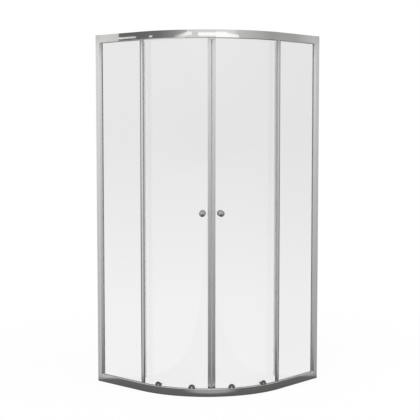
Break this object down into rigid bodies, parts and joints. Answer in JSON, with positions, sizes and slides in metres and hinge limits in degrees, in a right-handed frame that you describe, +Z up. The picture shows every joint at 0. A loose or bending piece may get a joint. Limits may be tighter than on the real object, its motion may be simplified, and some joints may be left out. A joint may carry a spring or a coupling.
{
  "type": "corner shower cabin",
  "caption": "Quadrant corner shower enclosure: flat fixed panes and curved glass doors that slide on rollers along bent aluminium rails.",
  "frame": {"origin": "middle of the bounding box's underside, on the floor", "axes": "+Z up; the room corner lies towards -X and +Y, the round front towards +X and -Y, and the two room walls are the planes of largest Y and smallest X"},
  "size_m": [0.887, 0.887, 1.95],
  "materials": {
    "rail_metal": "bright polished extrusion",
    "upright_metal": "bright satin extrusion",
    "pane_glass": "clear toughened glass",
    "gasket_rubber": "grey extruded rubber",
    "soft_seal": "soft translucent grey strip",
    "magnet_strip": "dark magnet strip in a soft sleeve",
    "moulded_plastic": "grey moulded plastic",
    "wheel_plastic": "dark moulded acetal",
    "clear_washer": "soft clear washer",
    "knob_chrome": "bright chrome plate",
    "screw_steel": "plain stainless steel"
  },
  "bodies": {
    "frame": {"bottom_rail": "rail_metal", "corner_screws": "screw_steel", "fixed_glass_left": "pane_glass", "fixed_glass_right": "pane_glass", "fixed_stile_left": "upright_metal", "fixed_stile_right": "upright_metal", "glazing_gasket_left": "gasket_rubber", "glazing_gasket_right": "gasket_rubber", "jamb_cap_left": "moulded_plastic", "jamb_cap_right": "moulded_plastic", "jamb_screw_covers": "moulded_plastic", "jamb_screws": "screw_steel", "rail_connectors": "moulded_plastic", "side_jamb_left": "upright_metal", "side_jamb_right": "upright_metal", "stile_seal_left": "soft_seal", "stile_seal_right": "soft_seal", "top_rail": "rail_metal", "track_end_caps": "moulded_plastic", "track_stops": "soft_seal", "wall_channel_left": "upright_metal", "wall_channel_right": "upright_metal"},
    "door_right": {"door_glass_right": "pane_glass", "meeting_stile_right": "upright_metal", "magnet_seal_right": "magnet_strip", "trailing_seal_right": "soft_seal", "drip_seal_right": "soft_seal", "knob_outer_right": "knob_chrome", "knob_inner_right": "knob_chrome", "knob_bolt_right": "screw_steel", "knob_washers_right": "clear_washer", "roller_washers_right": "clear_washer", "roller_cap_nuts_right": "knob_chrome", "top_roller_axles_right": "screw_steel", "bottom_roller_axles_right": "screw_steel"},
    "door_left": {"door_glass_left": "pane_glass", "meeting_stile_left": "upright_metal", "magnet_seal_left": "magnet_strip", "trailing_seal_left": "soft_seal", "drip_seal_left": "soft_seal", "knob_outer_left": "knob_chrome", "knob_inner_left": "knob_chrome", "knob_bolt_left": "screw_steel", "knob_washers_left": "clear_washer", "roller_washers_left": "clear_washer", "roller_cap_nuts_left": "knob_chrome", "top_roller_axles_left": "screw_steel", "bottom_roller_axles_left": "screw_steel"},
    "top_wheel_lead_right": {"top_wheel_lead_right": "wheel_plastic"},
    "top_wheel_trail_right": {"top_wheel_trail_right": "wheel_plastic"},
    "bottom_wheel_lead_right": {"bottom_wheel_lead_right": "wheel_plastic"},
    "bottom_wheel_trail_right": {"bottom_wheel_trail_right": "wheel_plastic"},
    "top_wheel_lead_left": {"top_wheel_lead_left": "wheel_plastic"},
    "top_wheel_trail_left": {"top_wheel_trail_left": "wheel_plastic"},
    "bottom_wheel_lead_left": {"bottom_wheel_lead_left": "wheel_plastic"},
    "bottom_wheel_trail_left": {"bottom_wheel_trail_left": "wheel_plastic"}
  },
  "joints": [
    {"name": "door_right_slide", "type": "hinge", "parent": "frame", "child": "door_right", "pos_m": [-0.0935, 0.0935, 0.975], "axis": [0, 0, 1], "range_deg": [0, 23]},
    {"name": "door_left_slide", "type": "hinge", "parent": "frame", "child": "door_left", "pos_m": [-0.0935, 0.0935, 0.975], "axis": [0, 0, -1], "range_deg": [0, 23]},
    {"name": "top_wheel_lead_right_spin", "type": "hinge", "parent": "door_right", "child": "top_wheel_lead_right", "pos_m": [0.33769, -0.18545, 1.9203], "axis": [0.8396, -0.5432, 0], "continuous": true},
    {"name": "top_wheel_trail_right_spin", "type": "hinge", "parent": "door_right", "child": "top_wheel_trail_right", "pos_m": [0.41062, -0.00449, 1.9203], "axis": [0.9816, -0.1908, 0], "continuous": true},
    {"name": "bottom_wheel_lead_right_spin", "type": "hinge", "parent": "door_right", "child": "bottom_wheel_lead_right", "pos_m": [0.33769, -0.18545, 0.0428], "axis": [0.8396, -0.5432, 0], "continuous": true},
    {"name": "bottom_wheel_trail_right_spin", "type": "hinge", "parent": "door_right", "child": "bottom_wheel_trail_right", "pos_m": [0.41062, -0.00449, 0.0428], "axis": [0.9816, -0.1908, 0], "continuous": true},
    {"name": "top_wheel_lead_left_spin", "type": "hinge", "parent": "door_left", "child": "top_wheel_lead_left", "pos_m": [0.18545, -0.33769, 1.9203], "axis": [0.5432, -0.8396, 0], "continuous": true},
    {"name": "top_wheel_trail_left_spin", "type": "hinge", "parent": "door_left", "child": "top_wheel_trail_left", "pos_m": [0.00449, -0.41062, 1.9203], "axis": [0.1908, -0.9816, 0], "continuous": true},
    {"name": "bottom_wheel_lead_left_spin", "type": "hinge", "parent": "door_left", "child": "bottom_wheel_lead_left", "pos_m": [0.18545, -0.33769, 0.0428], "axis": [0.5432, -0.8396, 0], "continuous": true},
    {"name": "bottom_wheel_trail_left_spin", "type": "hinge", "parent": "door_left", "child": "bottom_wheel_trail_left", "pos_m": [0.00449, -0.41062, 0.0428], "axis": [0.1908, -0.9816, 0], "continuous": true}
  ],
  "couplings": [
    {"joint": "top_wheel_lead_right_spin", "follows": "door_right_slide", "ratio": -51.355},
    {"joint": "top_wheel_trail_right_spin", "follows": "door_right_slide", "ratio": -51.355},
    {"joint": "bottom_wheel_lead_right_spin", "follows": "door_right_slide", "ratio": -27.759},
    {"joint": "bottom_wheel_trail_right_spin", "follows": "door_right_slide", "ratio": -27.759},
    {"joint": "top_wheel_lead_left_spin", "follows": "door_left_slide", "ratio": 51.355},
    {"joint": "top_wheel_trail_left_spin", "follows": "door_left_slide", "ratio": 51.355},
    {"joint": "bottom_wheel_lead_left_spin", "follows": "door_left_slide", "ratio": 27.759},
    {"joint": "bottom_wheel_trail_left_spin", "follows": "door_left_slide", "ratio": 27.759}
  ]
}
